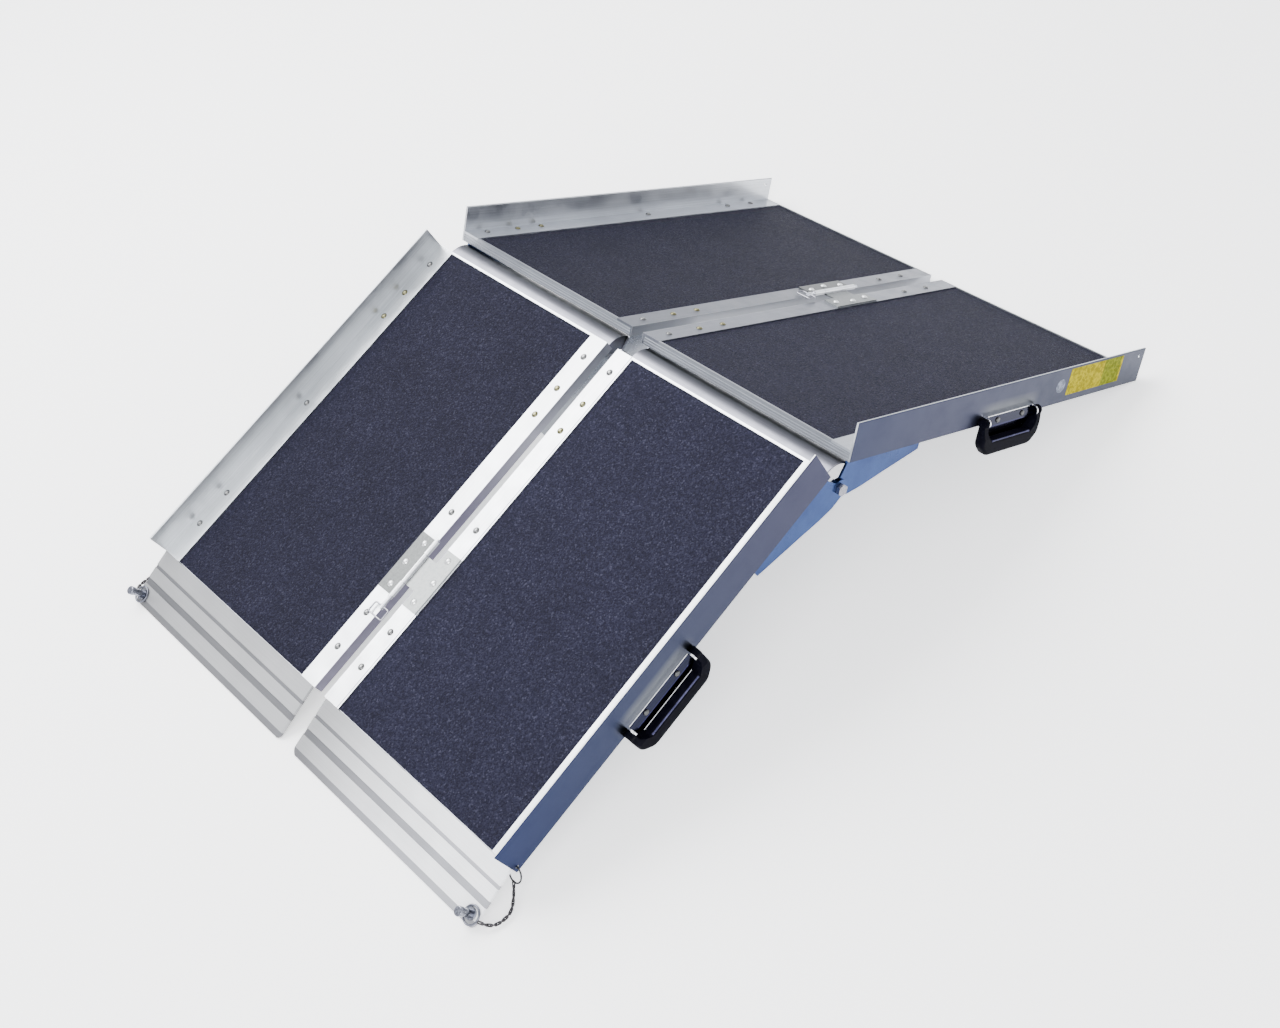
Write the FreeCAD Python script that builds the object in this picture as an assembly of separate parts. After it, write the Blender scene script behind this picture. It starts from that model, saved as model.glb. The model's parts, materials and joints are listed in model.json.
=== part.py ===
"""Portable wheelchair ramp: two folding lanes side by side, stood up as a tent, in mm.

Every panel is built in its own coordinates: a runs along the panel away from the cross fold,
o outboard from the centre line, n up from the tread. place() carries a panel into the row frame.
"""

import FreeCAD, Part
import math
import os

V = FreeCAD.Vector

# ---- driving dimensions ----------------------------------------------------------------------
HALF_WIDTH = 360.0            # centre line to the outer face of a side rail
INNER_EDGE = 10.0             # half of the slot between the two lanes
GROUND_LENGTH = 607.5         # panel that reaches down to the ground
LANDING_LENGTH = 535.0        # panel that carries the lip, without the lip
LIP_LENGTH = 73.8
LIP_BEND = 10.8               # lip droops this many degrees below the tread
LIP_T = 4.0
TENT_BEND = 45.6              # the two halves are folded this far from flat
PIVOT_BACK = 2.5              # cross-fold axis: beyond the panel end
PIVOT_DROP = 47.8             # and this far under the tread

WALL = 3.0
CURB = 35.0                   # side rail above the tread
RAIL_DROP = 14.0              # both rails below the tread
SIDE_FLANGE = 32.0
CENTRE_FLANGE = 28.7
DECK_TOP = -3.0
DECK_T = 3.0
GRIT_T = 1.4
BEAM_DEPTH = 20.0
RIB_OS = (62.0, 122.0, 184.0, 246.0, 306.0)

GUSSET_T = 3.0
GUSSET_LENGTH = 135.0
BOLT_R = 4.0
BOLT_FIT = 0.06

RIVET_R = 2.5
RIVET_HEAD_R = 4.4
RIVET_DOME = 2.3
GROUND_SIDE_RIVETS = (31.0, 84.0, 126.0, 333.0, 504.0, 556.0)
GROUND_CENTRE_RIVETS = (31.0, 84.0, 126.0, 500.0, 550.0)
LANDING_SIDE_RIVETS = (31.0, 82.0, 124.0, 277.0, 431.0, 482.0)
LANDING_CENTRE_RIVETS = (31.0, 82.0, 124.0, 279.0, 432.0, 483.0)
SIDE_RIVET_O = 347.0
CENTRE_RIVET_O = 24.5

LEAF_T = 2.0
GROUND_LEAF = (338.0, 422.0)
LANDING_LEAF = (317.0, 399.0)
HINGE_Y = 8.0                 # centre hinge axis: towards the left lane
HINGE_N = 3.7                 # and above the tread
KNUCKLE_R = 3.5
PIN_R = 2.0
PIN_FIT = 0.06
OPEN_FIT = 0.45               # room round the pin where the loop of folds is opened
LOOP_R = 1.0

HANDLE = (239.0, 359.0)
HANDLE_O = 366.5
HANDLE_N = -9.0
HANDLE_IN = 360.9             # inner face of the bail
HANDLE_OUT = 375.0            # outer face of its grip bar
BOSS_R = 5.8
GRIP_FILLET = 4.2
GRIP_TOP = -31.0              # upper face of the grip bar
GRIP_LOW = -51.5
STUB_R = 2.5
DISH_OUT = 360.6              # outer face of the mount's lower plate
DISH_T = 1.2
DISH_LOW = -33.5

LIP_PIN_A = 61.5
LIP_PIN_O = 349.0
LIP_PIN_R = 4.0
RING_R = 10.2
RING_WIRE = 1.2
SPLIT_R = 10.0
SPLIT_WIRE = 1.0
SPLIT_HOLE = (530.0, -8.0)
APRON_R = 30.8                # round the cross-fold axis
APRON_T = 2.5
APRON_SWEEP = 72.0            # degrees, from straight above the axis towards the ground half
APRON_EYE = 12.5              # clear radius round the pivot bolt in its end flange
FLANGE_T = 1.2
APRON_OS = (20.8, 349.8)
CHAIN_R = 2.1
CHAIN_GAP = 1.2               # from the pin's ring to the first link


# ---- solids in panel coordinates -------------------------------------------------------------
def box(a0, a1, o0, o1, n0, n1):
    return Part.makeBox(a1 - a0, o1 - o0, n1 - n0, V(a0, o0, n0))


def plate(points, o0, o1):
    """Outline in (a, n), thickness along o."""
    wire = Part.makePolygon([V(a, o0, n) for a, n in points + points[:1]])
    return Part.Face(wire).extrude(V(0, o1 - o0, 0))


def rod_o(a, n, o0, o1, radius):
    return Part.makeCylinder(radius, o1 - o0, V(a, o0, n), V(0, 1, 0))


def rod_n(a, o, n0, n1, radius):
    return Part.makeCylinder(radius, n1 - n0, V(a, o, n0), V(0, 0, 1))


def rod_a(o, n, a0, a1, radius):
    return Part.makeCylinder(radius, a1 - a0, V(a0, o, n), V(1, 0, 0))


def fuse(first, *others):
    return first.fuse(list(others)).removeSplitter()


def one(shape):
    return shape.Solids[0] if len(shape.Solids) == 1 else shape


# ---- rivets ----------------------------------------------------------------------------------
def rivet(a, o, seat=0.0):
    """Domed head on the seat, shank through flange and deck, set head underneath."""
    under = DECK_TOP - DECK_T
    sphere_r = (RIVET_HEAD_R ** 2 + RIVET_DOME ** 2) / (2 * RIVET_DOME)
    ball = Part.makeSphere(sphere_r, V(a, o, seat + RIVET_DOME - sphere_r))
    dome = ball.common(rod_n(a, o, seat, seat + RIVET_DOME + 1, RIVET_HEAD_R + 1))
    shank = rod_n(a, o, under, seat + 0.5, RIVET_R)
    tail = rod_n(a, o, under - 1.6, under, RIVET_HEAD_R - 1.3)
    return one(fuse(dome, shank, tail))


def rivet_bores(places):
    return [rod_n(a, o, -9.0, 4.0, RIVET_R + 0.05) for a, o in places]


def leaf_rivets(span):
    middle = (span[0] + span[1]) / 2
    return [(middle - 30.5, 23.5), (middle, 28.0), (middle + 30.5, 23.5)]


def rail_rivets(side_as, centre_as):
    return [(a, SIDE_RIVET_O) for a in side_as] + [(a, CENTRE_RIVET_O) for a in centre_as]


# ---- deck ------------------------------------------------------------------------------------
def deck_plate(length, far_beam, places):
    """Extruded tread sheet with five stiffening ribs along its underside."""
    under = DECK_TOP - DECK_T
    a0 = WALL
    a1 = length - (WALL if far_beam else 0.0)
    rib_end = length - (BEAM_DEPTH + 2 if far_beam else 45.0)
    sheet = box(a0, a1, INNER_EDGE + WALL, HALF_WIDTH - WALL, under, DECK_TOP)
    ribs = [box(BEAM_DEPTH + 2, rib_end, o - 1.5, o + 1.5, -RAIL_DROP + 0.5, under) for o in RIB_OS]
    return one(fuse(sheet, *ribs).cut(rivet_bores(places)))


def grit_sheet(length, far_beam):
    a1 = length - (WALL + 0.3 if far_beam else 0.6)
    o0 = INNER_EDGE + CENTRE_FLANGE + 0.4
    o1 = HALF_WIDTH - SIDE_FLANGE - 0.4
    return box(WALL + 0.3, a1, o0, o1, DECK_TOP, DECK_TOP + GRIT_T)


def end_beam(length, at_far_end):
    """Channel across the panel end: grooved face, flange under the deck, foot flange."""
    o0 = INNER_EDGE + WALL
    o1 = HALF_WIDTH - WALL
    under = DECK_TOP - DECK_T
    face = box(0, WALL, o0, o1, -RAIL_DROP, DECK_TOP)
    lip = box(0, WALL, INNER_EDGE + CENTRE_FLANGE, HALF_WIDTH - SIDE_FLANGE, DECK_TOP, 0)
    shelf = box(WALL, BEAM_DEPTH, o0, o1, under - 2.5, under)
    foot = box(WALL, BEAM_DEPTH, o0, o1, -RAIL_DROP, -RAIL_DROP + 2.5)
    grooves = [box(-0.1, 0.8, o0, o1, n - 0.9, n + 0.9) for n in (-4.0, -7.5, -11.0)]
    beam = one(fuse(face, lip, shelf, foot).cut(grooves))
    if at_far_end:
        beam = beam.mirror(V(length / 2, 0, 0), V(1, 0, 0))
    return beam


# ---- rails -----------------------------------------------------------------------------------
def side_rail(length, places, extra_bores):
    web = box(0, length, HALF_WIDTH - WALL, HALF_WIDTH, -RAIL_DROP, CURB)
    flange = box(0, length, HALF_WIDTH - SIDE_FLANGE, HALF_WIDTH - WALL, DECK_TOP, 0)
    rail = fuse(web, flange)
    top = [e for e in rail.Edges if min(v.Z for v in e.Vertexes) > CURB - 0.01 and e.Length > 100]
    rail = rail.makeFillet(1.2, top)
    return one(rail.cut(rivet_bores(places) + extra_bores))


def centre_rail(length, places):
    web = box(0, length, INNER_EDGE, INNER_EDGE + WALL, -RAIL_DROP, 0)
    flange = box(0, length, INNER_EDGE + WALL, INNER_EDGE + CENTRE_FLANGE, DECK_TOP, 0)
    return one(fuse(web, flange).cut(rivet_bores(places)))


# ---- cross-fold gussets and bolts ------------------------------------------------------------
def gusset(o0, o1):
    """Tapered side plate that carries the cross-fold axis below the panel end."""
    under = DECK_TOP - DECK_T - 0.2
    outline = [(22.5, under), (GUSSET_LENGTH, under), (GUSSET_LENGTH, -26.5), (72.0, -45.0)]
    outline += [(40.0, -55.0), (18.0, -60.0), (-PIVOT_BACK, -PIVOT_DROP - 11.5)]
    outline += [(-PIVOT_BACK, -PIVOT_DROP + 11.5), (6.0, -RAIL_DROP - 0.4), (22.5, -RAIL_DROP - 0.4)]
    return fuse(plate(outline, o0, o1), rod_o(-PIVOT_BACK, -PIVOT_DROP, o0, o1, 11.5))


def gussets(landing):
    """Outboard and inboard plate; the ground pair sits inside the landing pair, on pads."""
    step = 0.0 if landing else GUSSET_T + 0.4
    outer_face = HALF_WIDTH - WALL
    inner_face = INNER_EDGE + WALL
    solids = []
    for face, sign in ((outer_face, -1), (inner_face, 1)):
        near = face + sign * step
        far = near + sign * (GUSSET_T if landing else GUSSET_T + 0.2)
        body = gusset(min(near, far), max(near, far))
        if not landing:
            pad = box(26, 130, min(face, near), max(face, near), -RAIL_DROP + 1, DECK_TOP - DECK_T - 0.2)
            body = fuse(body, pad)
        low = min(near, far) - 1
        bore = rod_o(-PIVOT_BACK, -PIVOT_DROP, low, low + 8, BOLT_R + BOLT_FIT)
        solids.append(one(body.cut(bore)))
    return solids


def hexagon(o0, o1, across):
    points = []
    for k in range(6):
        turn = math.radians(60 * k + 30)
        reach = across / 2 / math.cos(math.radians(30))
        points.append((-PIVOT_BACK + reach * math.cos(turn), -PIVOT_DROP + reach * math.sin(turn)))
    return plate(points, o0, o1)


def pivot_bolts():
    """One bolt through the outboard gussets, one through the inboard gussets of a lane."""
    bolts = []
    stack = 2 * GUSSET_T + 0.6
    for face, sign in ((HALF_WIDTH - WALL, 1), (INNER_EDGE + WALL, -1)):
        head = (face + sign * 0.35, face + sign * 5.0)
        nut = (face - sign * (stack + 0.35), face - sign * (stack + 5.4))
        shank = (nut[1] - sign * 2.0, head[0])
        solid = fuse(
            hexagon(min(head), max(head), 13.0),
            rod_o(-PIVOT_BACK, -PIVOT_DROP, min(shank), max(shank), BOLT_R),
            hexagon(min(nut), max(nut), 12.5),
        )
        bolts.append(one(solid))
    return bolts


# ---- centre hinge between the lanes (coordinates a, Y, n) ------------------------------------
def knuckle(a0, a1, radius, bore):
    return rod_a(HINGE_Y, HINGE_N, a0, a1, radius).cut(rod_a(HINGE_Y, HINGE_N, a0 - 1, a1 + 1, bore))


def leaf_bores(span, sign):
    return [rod_n(a, sign * o, -1, 4, RIVET_R + 0.05) for a, o in leaf_rivets(span)]


def left_leaf(span):
    """Leaf on the left lane with a knuckle at each end."""
    a0, a1 = span
    body = box(a0, a1, INNER_EDGE + 2.2, 37.5, 0, LEAF_T)
    ends = []
    for k0, k1 in ((a0, a0 + 20), (a1 - 20, a1)):
        ends.append(rod_a(HINGE_Y, HINGE_N, k0, k1, KNUCKLE_R))
        ends.append(box(k0, k1, HINGE_Y, INNER_EDGE + 3, HINGE_N - KNUCKLE_R, LEAF_T))
    bore = rod_a(HINGE_Y, HINGE_N, a0 - 1, a1 + 1, PIN_R + PIN_FIT)
    return one(fuse(body, *ends).cut([bore] + leaf_bores(span, 1)))


def right_leaf(span, opened):
    """Leaf on the right lane; its tongue crosses the slot to the middle knuckle.

    Where the ring of folds is opened the knuckle is a saddle, open towards the left lane.
    """
    a0, a1 = span
    k0, k1 = a0 + 20.5, a1 - 20.5
    body = box(a0, a1, -37.0, -INNER_EDGE - 2.2, 0, LEAF_T)
    tongue = box(k0, k1, -INNER_EDGE - 4, HINGE_Y, 0, LEAF_T)
    barrel = rod_a(HINGE_Y, HINGE_N, k0, k1, KNUCKLE_R)
    bore = rod_a(HINGE_Y, HINGE_N, k0 - 1, k1 + 1, PIN_R + (OPEN_FIT if opened else PIN_FIT))
    leaf = fuse(body, tongue, barrel).cut([bore] + leaf_bores(span, -1))
    if opened:
        leaf = leaf.cut(box(k0 - 1, k1 + 1, HINGE_Y, HINGE_Y + 6, -1, HINGE_N + 6))
    return one(leaf)


def pin_ends(span, clip_low):
    """(tip, clip end, direction from tip to clip end) of a centre hinge pin."""
    if clip_low:
        return span[1] + 6.0, span[0] - 14.0, -1.0
    return span[0] - 3.0, span[1] + 20.0, 1.0


def hinge_pin(span, clip_low):
    tip, end, way = pin_ends(span, clip_low)
    edge = span[0] if clip_low else span[1]
    shaft = rod_a(HINGE_Y, HINGE_N, min(tip, end), max(tip, end), PIN_R)
    collar_a = (edge + way * 0.5, edge + way * 3.5)
    collar = rod_a(HINGE_Y, HINGE_N, min(collar_a), max(collar_a), 3.1)
    head_a = (end - way * 8.0, end)
    head = rod_a(HINGE_Y, HINGE_N, min(head_a), max(head_a), 2.7)
    hole = rod_o(end - way * 4.0, HINGE_N, HINGE_Y - 5, HINGE_Y + 5, LOOP_R + 0.06)
    return one(fuse(shaft, collar, head).cut(hole))


def pin_loop(span, clip_low):
    """Wire pull loop through the cross hole of the pin, lying over the rails."""
    tip, end, way = pin_ends(span, clip_low)
    root = end - way * 4.0
    reach = root + way * 14.0
    corners = [(root, -5.0), (reach, -5.0), (reach, 21.0), (root, 21.0)]
    bend = 3.0
    wire = rounded_loop(corners, bend)
    profile = Part.Wire(Part.makeCircle(LOOP_R, V(root, HINGE_Y, HINGE_N), V(0, 1, 0)))
    return one(wire.makePipeShell([profile], True, False))


def rounded_loop(corners, bend):
    """Closed path through the corners at hinge height, starting half-way along the pin side."""
    points = [V(a, y, HINGE_N) for a, y in corners]
    start = V(corners[0][0], HINGE_Y, HINGE_N)
    edges = []
    at = start
    for k in range(4):
        corner = points[k]
        after = points[(k + 1) % 4]
        inward = (at - corner).normalize()
        onward = (after - corner).normalize()
        enter = corner + inward * bend
        leave = corner + onward * bend
        middle = corner + (inward + onward) * (bend * (1 - math.sqrt(0.5)))
        edges.append(Part.makeLine(at, enter))
        edges.append(Part.Arc(enter, middle, leave).toShape())
        at = leave
    edges.append(Part.makeLine(at, start))
    return Part.Wire(edges)


# ---- carrying handles ------------------------------------------------------------------------
def handle_mount():
    """Raised channel plate with an end lug and pivot stub for each boss, and a plate behind the grip."""
    a0, a1 = HANDLE[0] + 11.0, HANDLE[1] - 11.0
    face = box(a0, a1, HALF_WIDTH + 3.5, HALF_WIDTH + 5.0, -17.0, -1.0)
    top = box(a0, a1, HALF_WIDTH, HALF_WIDTH + 3.5, -2.5, -1.0)
    base = box(a0, a1, HALF_WIDTH, HALF_WIDTH + 3.5, -15.2, -12.3)
    dish = box(a0 - 4.5, a1 + 4.5, DISH_OUT - DISH_T, DISH_OUT, DISH_LOW, -RAIL_DROP)
    solids = [face, top, base, dish]
    for lug0, out in ((a0 - 2.4, -1), (a1, 1)):
        solids.append(box(lug0, lug0 + 2.4, HALF_WIDTH, HANDLE_O, -15.0, -3.0))
        solids.append(rod_a(HANDLE_O, HANDLE_N, lug0, lug0 + 2.4, 6.0))
        stub0 = lug0 if out > 0 else lug0 - 6.4
        solids.append(rod_a(HANDLE_O, HANDLE_N, stub0, stub0 + 8.8, STUB_R))
    body = fuse(*solids)
    return one(body.cut([rod_o(a, HANDLE_N, HALF_WIDTH, HALF_WIDTH + 6, 2.05) for a in mount_screw_as()]))


def mount_screw_as():
    middle = (HANDLE[0] + HANDLE[1]) / 2
    return (middle - 26.0, middle + 26.0)


def mount_screw(a):
    head = rod_o(a, HANDLE_N, HALF_WIDTH + 5.0, HALF_WIDTH + 6.8, 3.6)
    head = head.makeFillet(1.2, [e for e in head.Edges if e.CenterOfMass.y > HALF_WIDTH + 6.7])
    return one(fuse(head, rod_o(a, HANDLE_N, HALF_WIDTH - 4.5, HALF_WIDTH + 5.2, 2.0)))


def handle_grip():
    """Bail handle: two bossed arms and a thick grip bar round a finger opening."""
    a0, a1 = HANDLE
    half = [(a0 + 8, HANDLE_N), (a0, HANDLE_N), (a0, -37.5), (a0 + 14, GRIP_LOW)]
    inner = [(a0 + 17, GRIP_TOP), (a0 + 12, -26.0), (a0 + 8, -19.5)]
    outline = half + mirrored_along(half) + mirrored_along(inner) + inner
    bail = plate(outline, HANDLE_IN, HANDLE_OUT)
    bail = bail.makeFillet(15.0, [e for e in bail.Edges if is_low_corner(e, a0, a1)])
    bail = bail.common(handle_blank(a0, a1))
    bail = bail.makeFillet(GRIP_FILLET, [e for e in bail.Edges if is_rim(e)])
    bosses = [rod_a(HANDLE_O, HANDLE_N, a0, a0 + 8, BOSS_R), rod_a(HANDLE_O, HANDLE_N, a1 - 8, a1, BOSS_R)]
    bores = [rod_a(HANDLE_O, HANDLE_N, a0 + 1.4, a0 + 9, STUB_R + 0.06)]
    bores.append(rod_a(HANDLE_O, HANDLE_N, a1 - 9, a1 - 1.4, STUB_R + 0.06))
    return one(fuse(bail, *bosses).cut(bores))


def mirrored_along(points):
    """The same points at the other end of the handle, in reverse order."""
    return [(HANDLE[0] + HANDLE[1] - a, n) for a, n in reversed(points)]


def handle_blank(a0, a1):
    """Side view of the bail across the panel: slim at the bosses, full at the grip bar."""
    side = [(HANDLE_IN, -5.0), (HANDLE_O + 5.6, -5.0), (HANDLE_O + 5.6, -14.0)]
    side += [(HANDLE_OUT, -27.0), (HANDLE_OUT, -60.0), (HANDLE_IN, -60.0)]
    wire = Part.makePolygon([V(a0 - 1, o, n) for o, n in side + side[:1]])
    return Part.Face(wire).extrude(V(a1 - a0 + 2, 0, 0))


def is_low_corner(edge, a0, a1):
    c = edge.CenterOfMass
    across = abs(edge.Vertexes[0].Y - edge.Vertexes[-1].Y) > 5
    return across and c.z < -35 and (c.x < a0 + 15 or c.x > a1 - 15)


def is_rim(edge):
    """Outer lower rim of the bail on both faces, and the upper rims of the grip bar."""
    c = edge.CenterOfMass
    flat = abs(edge.Vertexes[0].Y - edge.Vertexes[-1].Y) < 0.01
    return flat and c.z < GRIP_TOP + 0.5


# ---- lip, bridge plate and retaining pins ----------------------------------------------------
def lip_point(along, up):
    """(a, n) of a point on the lip, from its distance past the bend and above its top face."""
    tilt = math.radians(LIP_BEND)
    a = LANDING_LENGTH + along * math.cos(tilt) + up * math.sin(tilt)
    return a, up * math.cos(tilt) - along * math.sin(tilt)


def lip_plate():
    """Grooved aluminium lip with rounded corners and a root riveted under the deck."""
    top = [(21.0, 0.0), (21.6, -0.9), (24.4, -0.9), (25.0, 0.0), (40.0, 0.0)]
    top += [(40.8, -1.0), (47.2, -1.0), (48.0, 0.0), (65.5, 0.0), (LIP_LENGTH, -2.4)]
    outline = [(LANDING_LENGTH + 0.3, 0.0)] + [lip_point(s, n) for s, n in top]
    outline += [lip_point(LIP_LENGTH, -LIP_T), (LANDING_LENGTH + 0.3, -LIP_T - 0.1)]
    blade = plate(outline, INNER_EDGE + 4.5, HALF_WIDTH)
    under = DECK_TOP - DECK_T
    tongue = [(495.0, under), (LANDING_LENGTH + 0.3, under), (LANDING_LENGTH + 0.3, -0.5)]
    tongue += [lip_point(3.0, -1.0), lip_point(14.0, -LIP_T + 0.2)]
    tongue += [(LANDING_LENGTH + 2, -10.0), (495.0, -10.0)]
    root = plate(tongue, 20.0, 344.0)
    blade = blade.common(rounded_blank())
    bore = Part.makeCylinder(LIP_PIN_R + 0.06, 30, lip_vector(LIP_PIN_A, LIP_PIN_O, -15), lip_normal())
    return one(fuse(blade, root).cut(bore))


def rounded_blank():
    """Blank with the four free corners of the lip rounded, as a prism square to the tread."""
    far = lip_point(LIP_LENGTH, 0)[0] + 0.4
    blank = box(LANDING_LENGTH - 5, far, INNER_EDGE + 4.5, HALF_WIDTH, -40, 10)
    upright = [e for e in blank.Edges if is_free_corner(e, far)]
    return blank.makeFillet(9.0, upright)


def is_free_corner(edge, far):
    return abs(edge.Vertexes[0].Z - edge.Vertexes[-1].Z) > 20 and edge.CenterOfMass.x > far - 1


def lip_normal():
    tilt = math.radians(LIP_BEND)
    return V(math.sin(tilt), 0, math.cos(tilt))


def lip_vector(along, o, up):
    a, n = lip_point(along, up)
    return V(a, o, n)


def lip_rod(along, o, up0, up1, radius):
    return Part.makeCylinder(radius, up1 - up0, lip_vector(along, o, up0), lip_normal())


def lip_pin():
    """Retaining pin: chamfered shank, collar, neck and rounded head."""
    shank = lip_rod(LIP_PIN_A, LIP_PIN_O, -LIP_T - 6.0, 0.4, LIP_PIN_R)
    shank = shank.makeChamfer(1.2, [shank.Edges[2]])
    collar = lip_rod(LIP_PIN_A, LIP_PIN_O, 0.35, 3.2, 7.0)
    neck = lip_rod(LIP_PIN_A, LIP_PIN_O, 3.0, 17.2, 4.6)
    head = lip_rod(LIP_PIN_A, LIP_PIN_O, 16.8, 23.4, 5.6)
    head = head.makeFillet(1.4, [e for e in head.Edges if e.Length > 30 and len(e.Vertexes) == 1])
    return one(fuse(shank, collar, neck, head))


def ring_centre():
    reach = RING_R - RING_WIRE - 7.0 - 0.02
    return lip_vector(LIP_PIN_A + reach * 0.4, LIP_PIN_O + reach * math.sqrt(1 - 0.16), 1.65)


def lip_ring():
    """Wire ring round the collar of the retaining pin; the chain hangs from it."""
    return one(Part.makeTorus(RING_R, RING_WIRE, ring_centre(), lip_normal()))


def split_ring_axes():
    """Centre, unit vector from the hole to the lowest point, and plane normal."""
    down = V(0.725, 0, -0.689).normalize()
    hole = V(SPLIT_HOLE[0], HALF_WIDTH - WALL / 2, SPLIT_HOLE[1])
    normal = down.cross(V(0, 1, 0)).normalize()
    return hole + down * SPLIT_R, down, normal


def split_ring():
    centre, down, normal = split_ring_axes()
    return one(Part.makeTorus(SPLIT_R, SPLIT_WIRE, centre, normal))


def chain_route():
    """Way points of the lanyard, from the pin's ring to the split ring on the rail."""
    start = ring_centre() + V(0, 1, 0) * (RING_R + RING_WIRE + CHAIN_GAP)
    centre, down, normal = split_ring_axes()
    end = centre + down * (SPLIT_R + SPLIT_WIRE - 0.15)
    first = start + V(-3.0, 9.5, -6.5)
    second = V(581.0, 378.0, -23.5)
    third = V(563.0, 374.5, -28.5)
    return [start, first, second, third, end]


def tube(points, radius):
    """Straight runs joined by tangent arcs; returns the solid and the arc radii."""
    edges = []
    radii = []
    at = points[0]
    for k in range(1, len(points) - 1):
        before = points[k - 1] - points[k]
        after = points[k + 1] - points[k]
        turn = math.pi - before.getAngle(after)
        trim = 0.45 * min(before.Length, after.Length)
        radii.append(trim / math.tan(turn / 2))
        inward = V(before).normalize()
        onward = V(after).normalize()
        enter = points[k] + inward * trim
        leave = points[k] + onward * trim
        bisector = (inward + onward).normalize()
        to_centre = math.hypot(radii[-1], trim)
        middle = points[k] + bisector * (to_centre - radii[-1])
        edges.append(Part.makeLine(at, enter))
        edges.append(Part.Arc(enter, middle, leave).toShape())
        at = leave
    edges.append(Part.makeLine(at, points[-1]))
    spine = Part.Wire(edges)
    way = (points[1] - points[0]).normalize()
    profile = Part.Wire(Part.makeCircle(radius, points[0], way))
    return spine.makePipeShell([profile], True, False), radii, spine.Length


def bridge_plate():
    """Curved apron that closes the cross fold: flat under the landing end, then round the axis."""
    o0, o1 = APRON_OS
    n_top = APRON_R - PIVOT_DROP
    start = V(-PIVOT_BACK, o0, n_top)
    outer = apron_arc(APRON_R, o0)
    inner = apron_arc(APRON_R - APRON_T, o0)
    far = Part.makeLine(outer[1], inner[1])
    flat = [V(40.0, o0, n_top), V(40.0, o0, n_top - APRON_T)]
    edges = [Part.makeLine(flat[0], start), outer[0], far, inner[0]]
    edges += [Part.makeLine(inner[2], flat[1]), Part.makeLine(flat[1], flat[0])]
    wire = Part.Wire(Part.__sortEdges__(edges))
    sheet = Part.Face(wire).extrude(V(0, o1 - o0, 0))
    pad = box(3.0, 40.0, o0 + 4, o1 - 4, n_top - 1, -RAIL_DROP)
    return one(fuse(sheet, pad, apron_flange(o0)))


def apron_flange(o0):
    """Inner end of the apron turned in towards the pivot bolt."""
    disc = rod_o(-PIVOT_BACK, -PIVOT_DROP, o0, o0 + FLANGE_T, APRON_R - 0.5)
    eye = rod_o(-PIVOT_BACK, -PIVOT_DROP, o0 - 1, o0 + FLANGE_T + 1, APRON_EYE)
    reach = 2 * APRON_R
    turn = math.radians(APRON_SWEEP - 2.0)
    wedge = [(-PIVOT_BACK, -PIVOT_DROP), (10.0, -PIVOT_DROP), (10.0, -PIVOT_DROP + reach)]
    wedge += [(-PIVOT_BACK - reach, -PIVOT_DROP + reach)]
    wedge += [(-PIVOT_BACK - reach * math.sin(turn), -PIVOT_DROP + reach * math.cos(turn))]
    return disc.cut(eye).common(plate(wedge, o0 - 1, o0 + FLANGE_T + 1))


def apron_arc(radius, o):
    """Arc edge round the cross-fold axis with its end and start points."""
    points = []
    for share in (0.0, 0.5, 1.0):
        turn = math.radians(APRON_SWEEP * share)
        a = -PIVOT_BACK - radius * math.sin(turn)
        points.append(V(a, o, radius * math.cos(turn) - PIVOT_DROP))
    return Part.Arc(*points).toShape(), points[2], points[0]


# ---- from panel coordinates into the row frame -----------------------------------------------
def tent_angles():
    """Slopes of the ground and landing halves when both feet stand on the floor."""
    low, high = 0.0, TENT_BEND
    tip_a, tip_n = lip_point(LIP_LENGTH, -LIP_T)
    for _ in range(60):
        slope = (low + high) / 2
        ground = foot_depth(GROUND_LENGTH, -RAIL_DROP, slope)
        landing = foot_depth(tip_a, tip_n, TENT_BEND - slope)
        if ground < landing:
            low = slope
        else:
            high = slope
    return slope, TENT_BEND - slope


def foot_depth(a, n, slope):
    s = math.radians(slope)
    return (a + PIVOT_BACK) * math.sin(s) - (n + PIVOT_DROP) * math.cos(s)


GROUND_SLOPE, LANDING_SLOPE = tent_angles()
PIVOT_Z = foot_depth(GROUND_LENGTH, -RAIL_DROP, GROUND_SLOPE)
# the pin heads and the far curb corners are the two ends of the part along X
GROUND_REACH = (GROUND_LENGTH + PIVOT_BACK) * math.cos(math.radians(GROUND_SLOPE))
GROUND_REACH += (CURB + PIVOT_DROP) * math.sin(math.radians(GROUND_SLOPE))


def seat(shape, section, mirrored, pivot_x):
    if mirrored:
        shape = shape.mirror(V(0, 0, 0), V(0, 1, 0))
    else:
        shape = shape.copy()
    shape.translate(V(PIVOT_BACK, 0, PIVOT_DROP))
    if section == "ground":
        shape.rotate(V(0, 0, 0), V(0, 1, 0), GROUND_SLOPE)
    else:
        shape.rotate(V(0, 0, 0), V(0, 0, 1), 180)
        shape.rotate(V(0, 0, 0), V(0, 1, 0), -LANDING_SLOPE)
    shape.translate(V(pivot_x, 0, PIVOT_Z))
    return shape


def place(shape, section, lane, pivot_x):
    """Panel coordinates with o outboard."""
    return seat(shape, section, (section == "ground") == (lane == "right"), pivot_x)


def place_y(shape, section, pivot_x):
    """Panel coordinates with the row's own Y in place of o."""
    return seat(shape, section, section == "landing", pivot_x)


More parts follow.
